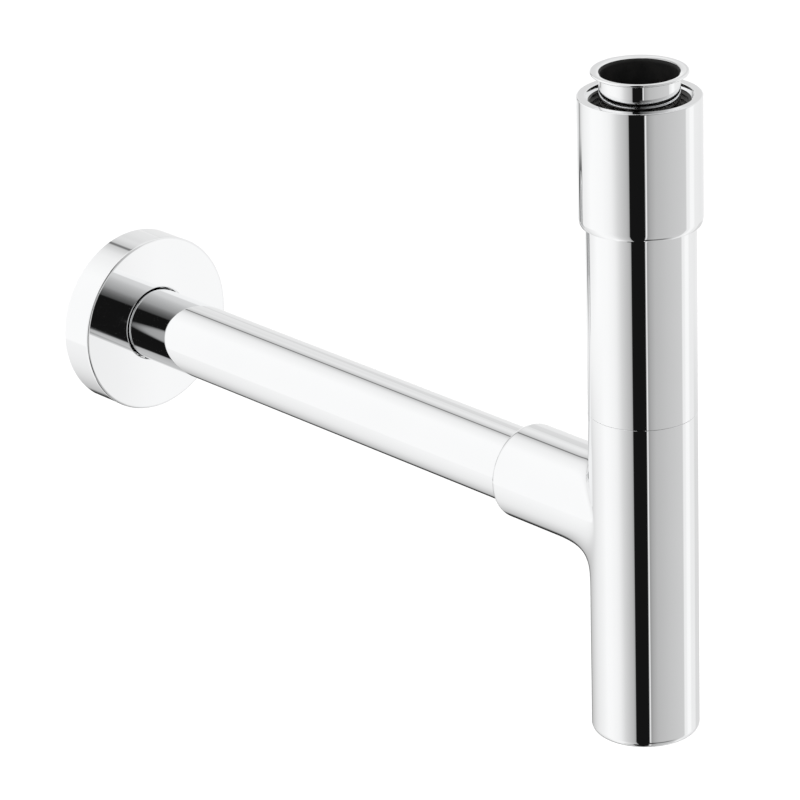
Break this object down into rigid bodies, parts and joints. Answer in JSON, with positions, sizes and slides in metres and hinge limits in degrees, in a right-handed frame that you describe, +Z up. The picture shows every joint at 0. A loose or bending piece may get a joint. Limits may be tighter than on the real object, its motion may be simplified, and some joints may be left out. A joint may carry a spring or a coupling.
{
  "type": "bottle trap",
  "caption": "Chromed tubular wash-basin trap with dip tube, long union sleeve, horizontal wall tube and round wall cover.",
  "frame": {"origin": "centre of the inlet flange's top face, where the basin waste seats", "axes": "+Z up along the inlet tube, +Y along the outlet tube to the wall, +X completes a right-handed frame"},
  "size_m": [0.079, 0.3697, 0.282],
  "materials": {
    "polished_chrome": "mirror-polished chrome plate",
    "turned_brass": "turned, unplated",
    "seal_rubber": "matt black nitrile",
    "white_plastic": "moulded, matt"
  },
  "bodies": {
    "inlet": {"inlet_pipe": "polished_chrome"},
    "gland_seal": {"gland_seal": "seal_rubber"},
    "trap_body": {"upper_barrel": "polished_chrome", "barrel_o_ring": "seal_rubber", "outlet_tee": "polished_chrome", "socket_o_ring_inner": "seal_rubber", "socket_o_ring_outer": "seal_rubber"},
    "slip_ring": {"slip_ring": "white_plastic"},
    "union_sleeve": {"union_sleeve": "polished_chrome", "sleeve_guide_ring": "white_plastic"},
    "gland_washer": {"gland_washer": "white_plastic"},
    "gland_nut": {"gland_nut": "turned_brass"},
    "plug_ring": {"plug_o_ring": "seal_rubber"},
    "cleaning_plug": {"cleaning_plug": "polished_chrome"},
    "wall_pipe": {"wall_pipe": "polished_chrome"},
    "cover_ring": {"rosette_o_ring": "seal_rubber"},
    "cover": {"rosette": "polished_chrome"}
  },
  "joints": [
    {"name": "height_slide", "type": "slide", "parent": "inlet", "child": "gland_seal", "axis": [0, 0, 1], "range_m": [-0.008, 0.003]},
    {"name": "outlet_swivel", "type": "hinge", "parent": "gland_seal", "child": "trap_body", "pos_m": [0, 0, -0.045], "axis": [0, 0, 1], "continuous": true},
    {"name": "sleeve_slide", "type": "slide", "parent": "inlet", "child": "slip_ring", "axis": [0, 0, 1], "range_m": [0, 0.0213]},
    {"name": "sleeve_spin", "type": "hinge", "parent": "slip_ring", "child": "union_sleeve", "pos_m": [0, 0, -0.025], "axis": [0, 0, 1], "continuous": true},
    {"name": "gland_travel", "type": "slide", "parent": "trap_body", "child": "gland_washer", "axis": [0, 0, 1], "range_m": [0, 0.003]},
    {"name": "gland_spin", "type": "hinge", "parent": "gland_washer", "child": "gland_nut", "pos_m": [0, 0, -0.044], "axis": [0, 0, 1], "range_deg": [0, 720]},
    {"name": "plug_travel", "type": "slide", "parent": "trap_body", "child": "plug_ring", "axis": [0, 0, -1], "range_m": [0, 0.00924]},
    {"name": "plug_spin", "type": "hinge", "parent": "plug_ring", "child": "cleaning_plug", "pos_m": [0, 0, -0.277], "axis": [0, 0, -1], "range_deg": [0, 1440]},
    {"name": "wall_pipe_slide", "type": "slide", "parent": "trap_body", "child": "wall_pipe", "axis": [0, 1, 0], "range_m": [-0.006, 0.01]},
    {"name": "cover_slide", "type": "slide", "parent": "wall_pipe", "child": "cover_ring", "axis": [0, -1, 0], "range_m": [0, 0.2]},
    {"name": "cover_spin", "type": "hinge", "parent": "cover_ring", "child": "cover", "pos_m": [0, 0.315, -0.1885], "axis": [0, 1, 0], "continuous": true}
  ],
  "couplings": [
    {"joint": "gland_travel", "follows": "gland_spin", "m_per_rad": 0.00023873},
    {"joint": "plug_travel", "follows": "plug_spin", "m_per_rad": 0.00036749}
  ]
}
